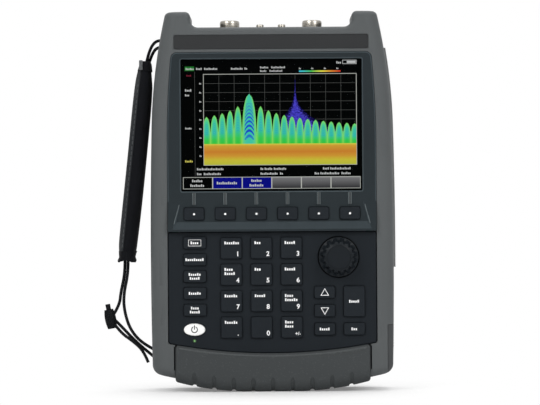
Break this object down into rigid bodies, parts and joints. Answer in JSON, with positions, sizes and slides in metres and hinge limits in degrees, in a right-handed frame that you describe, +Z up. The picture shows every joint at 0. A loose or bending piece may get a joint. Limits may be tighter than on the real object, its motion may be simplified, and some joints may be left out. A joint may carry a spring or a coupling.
{
  "type": "handheld microwave analyzer",
  "caption": "Upright handheld radio test set with a screen, softkeys, keypad, rotary knob, threaded test ports between two ears, fold-out stand, side cover and padded hand strap.",
  "frame": {"origin": "on the ground under the middle of the body, on the flat tread of the bumper", "axes": "+X to the right and +Z up seen from the front, the screen faces -Y"},
  "size_m": [0.2259, 0.0726, 0.292],
  "materials": {
    "housing": "fine moulded texture",
    "latch": "fine moulded texture",
    "bumper": "matt",
    "cover": "matt",
    "bezel": "satin",
    "panel": "satin",
    "title": "satin",
    "screen_glass": "clear",
    "display": "dark",
    "key": "matt",
    "power_key": "matt",
    "lamp": "clear green",
    "knob": "satin",
    "steel": "bright",
    "shield": "plain",
    "connector": "bright",
    "mat": "matt",
    "board": "solder resist",
    "battery": "matt",
    "sockets": "matt",
    "strap": "woven",
    "cord": "braided",
    "lock": "satin"
  },
  "bodies": {
    "body": {"battery_pack": "battery", "bottom_bumper": "bumper", "cord_lock": "lock", "display_bezel": "bezel", "display_module": "display", "display_window": "screen_glass", "front_housing": "housing", "gps_connector": "connector", "housing_screws": "steel", "keypad_board": "board", "keypad_mat": "mat", "keypad_panel": "panel", "main_board": "board", "port_1_connector": "connector", "port_2_connector": "connector", "power_led": "lamp", "rear_housing": "housing", "reference_connector": "connector", "rf_module": "shield", "right_ports": "sockets", "rotary_encoder": "shield", "strap_cords": "cord", "strap_pad": "strap", "title_strip": "title"},
    "knob": {"knob": "knob", "encoder_shaft": "steel"},
    "bail_stand": {"bail_stand": "housing"},
    "right_port_door": {"right_port_door": "cover"},
    "battery_door": {"battery_door": "housing"},
    "battery_latch": {"battery_latch": "latch"},
    "cord_lock_plunger": {"cord_lock_plunger": "lock"},
    "softkey_1": {"softkey_1": "key"},
    "softkey_2": {"softkey_2": "key"},
    "softkey_3": {"softkey_3": "key"},
    "softkey_4": {"softkey_4": "key"},
    "softkey_5": {"softkey_5": "key"},
    "softkey_6": {"softkey_6": "key"},
    "mode_key": {"mode_key": "key"},
    "frequency_key": {"frequency_key": "key"},
    "scale_key": {"scale_key": "key"},
    "marker_key": {"marker_key": "key"},
    "tools_key": {"tools_key": "key"},
    "key_1": {"key_1": "key"},
    "key_2": {"key_2": "key"},
    "key_3": {"key_3": "key"},
    "key_4": {"key_4": "key"},
    "key_5": {"key_5": "key"},
    "key_6": {"key_6": "key"},
    "key_7": {"key_7": "key"},
    "key_8": {"key_8": "key"},
    "key_9": {"key_9": "key"},
    "key_point": {"key_point": "key"},
    "key_0": {"key_0": "key"},
    "key_sign": {"key_sign": "key"},
    "up_key": {"up_key": "key"},
    "down_key": {"down_key": "key"},
    "back_key": {"back_key": "key"},
    "enter_key": {"enter_key": "key"},
    "escape_key": {"escape_key": "key"},
    "power_button": {"power_button": "power_key"}
  },
  "joints": [
    {"name": "knob_turn", "type": "hinge", "parent": "body", "child": "knob", "pos_m": [0.0508, -0.0354, 0.1031], "axis": [0, 1, 0], "continuous": true},
    {"name": "stand_hinge", "type": "hinge", "parent": "body", "child": "bail_stand", "pos_m": [0, 0.027, 0.172], "axis": [1, 0, 0], "range_deg": [0, 38]},
    {"name": "cover_hinge", "type": "hinge", "parent": "body", "child": "right_port_door", "pos_m": [0.095, 0.01, 0.1795], "axis": [0, 0, 1], "range_deg": [0, 100]},
    {"name": "battery_door_slide", "type": "slide", "parent": "body", "child": "battery_door", "axis": [1, 0, 0], "range_m": [0, 0.025]},
    {"name": "battery_latch_slide", "type": "slide", "parent": "battery_door", "child": "battery_latch", "axis": [0, 0, 1], "range_m": [0, 0.003]},
    {"name": "lock_plunger_press", "type": "slide", "parent": "body", "child": "cord_lock_plunger", "axis": [0.1908, 0, -0.9816], "range_m": [0, 0.0015], "stiffness_N_per_m": 300},
    {"name": "softkey_1_press", "type": "slide", "parent": "body", "child": "softkey_1", "axis": [0, 1, 0], "range_m": [0, 0.001], "stiffness_N_per_m": 200},
    {"name": "softkey_2_press", "type": "slide", "parent": "body", "child": "softkey_2", "axis": [0, 1, 0], "range_m": [0, 0.001], "stiffness_N_per_m": 200},
    {"name": "softkey_3_press", "type": "slide", "parent": "body", "child": "softkey_3", "axis": [0, 1, 0], "range_m": [0, 0.001], "stiffness_N_per_m": 200},
    {"name": "softkey_4_press", "type": "slide", "parent": "body", "child": "softkey_4", "axis": [0, 1, 0], "range_m": [0, 0.001], "stiffness_N_per_m": 200},
    {"name": "softkey_5_press", "type": "slide", "parent": "body", "child": "softkey_5", "axis": [0, 1, 0], "range_m": [0, 0.001], "stiffness_N_per_m": 200},
    {"name": "softkey_6_press", "type": "slide", "parent": "body", "child": "softkey_6", "axis": [0, 1, 0], "range_m": [0, 0.001], "stiffness_N_per_m": 200},
    {"name": "mode_key_press", "type": "slide", "parent": "body", "child": "mode_key", "axis": [0, 1, 0], "range_m": [0, 0.001], "stiffness_N_per_m": 200},
    {"name": "frequency_key_press", "type": "slide", "parent": "body", "child": "frequency_key", "axis": [0, 1, 0], "range_m": [0, 0.001], "stiffness_N_per_m": 200},
    {"name": "scale_key_press", "type": "slide", "parent": "body", "child": "scale_key", "axis": [0, 1, 0], "range_m": [0, 0.001], "stiffness_N_per_m": 200},
    {"name": "marker_key_press", "type": "slide", "parent": "body", "child": "marker_key", "axis": [0, 1, 0], "range_m": [0, 0.001], "stiffness_N_per_m": 200},
    {"name": "tools_key_press", "type": "slide", "parent": "body", "child": "tools_key", "axis": [0, 1, 0], "range_m": [0, 0.001], "stiffness_N_per_m": 200},
    {"name": "key_1_press", "type": "slide", "parent": "body", "child": "key_1", "axis": [0, 1, 0], "range_m": [0, 0.001], "stiffness_N_per_m": 200},
    {"name": "key_2_press", "type": "slide", "parent": "body", "child": "key_2", "axis": [0, 1, 0], "range_m": [0, 0.001], "stiffness_N_per_m": 200},
    {"name": "key_3_press", "type": "slide", "parent": "body", "child": "key_3", "axis": [0, 1, 0], "range_m": [0, 0.001], "stiffness_N_per_m": 200},
    {"name": "key_4_press", "type": "slide", "parent": "body", "child": "key_4", "axis": [0, 1, 0], "range_m": [0, 0.001], "stiffness_N_per_m": 200},
    {"name": "key_5_press", "type": "slide", "parent": "body", "child": "key_5", "axis": [0, 1, 0], "range_m": [0, 0.001], "stiffness_N_per_m": 200},
    {"name": "key_6_press", "type": "slide", "parent": "body", "child": "key_6", "axis": [0, 1, 0], "range_m": [0, 0.001], "stiffness_N_per_m": 200},
    {"name": "key_7_press", "type": "slide", "parent": "body", "child": "key_7", "axis": [0, 1, 0], "range_m": [0, 0.001], "stiffness_N_per_m": 200},
    {"name": "key_8_press", "type": "slide", "parent": "body", "child": "key_8", "axis": [0, 1, 0], "range_m": [0, 0.001], "stiffness_N_per_m": 200},
    {"name": "key_9_press", "type": "slide", "parent": "body", "child": "key_9", "axis": [0, 1, 0], "range_m": [0, 0.001], "stiffness_N_per_m": 200},
    {"name": "key_point_press", "type": "slide", "parent": "body", "child": "key_point", "axis": [0, 1, 0], "range_m": [0, 0.001], "stiffness_N_per_m": 200},
    {"name": "key_0_press", "type": "slide", "parent": "body", "child": "key_0", "axis": [0, 1, 0], "range_m": [0, 0.001], "stiffness_N_per_m": 200},
    {"name": "key_sign_press", "type": "slide", "parent": "body", "child": "key_sign", "axis": [0, 1, 0], "range_m": [0, 0.001], "stiffness_N_per_m": 200},
    {"name": "up_key_press", "type": "slide", "parent": "body", "child": "up_key", "axis": [0, 1, 0], "range_m": [0, 0.001], "stiffness_N_per_m": 200},
    {"name": "down_key_press", "type": "slide", "parent": "body", "child": "down_key", "axis": [0, 1, 0], "range_m": [0, 0.001], "stiffness_N_per_m": 200},
    {"name": "back_key_press", "type": "slide", "parent": "body", "child": "back_key", "axis": [0, 1, 0], "range_m": [0, 0.001], "stiffness_N_per_m": 200},
    {"name": "enter_key_press", "type": "slide", "parent": "body", "child": "enter_key", "axis": [0, 1, 0], "range_m": [0, 0.001], "stiffness_N_per_m": 200},
    {"name": "escape_key_press", "type": "slide", "parent": "body", "child": "escape_key", "axis": [0, 1, 0], "range_m": [0, 0.001], "stiffness_N_per_m": 200},
    {"name": "power_button_press", "type": "slide", "parent": "body", "child": "power_button", "axis": [0, 1, 0], "range_m": [0, 0.001], "stiffness_N_per_m": 200}
  ]
}
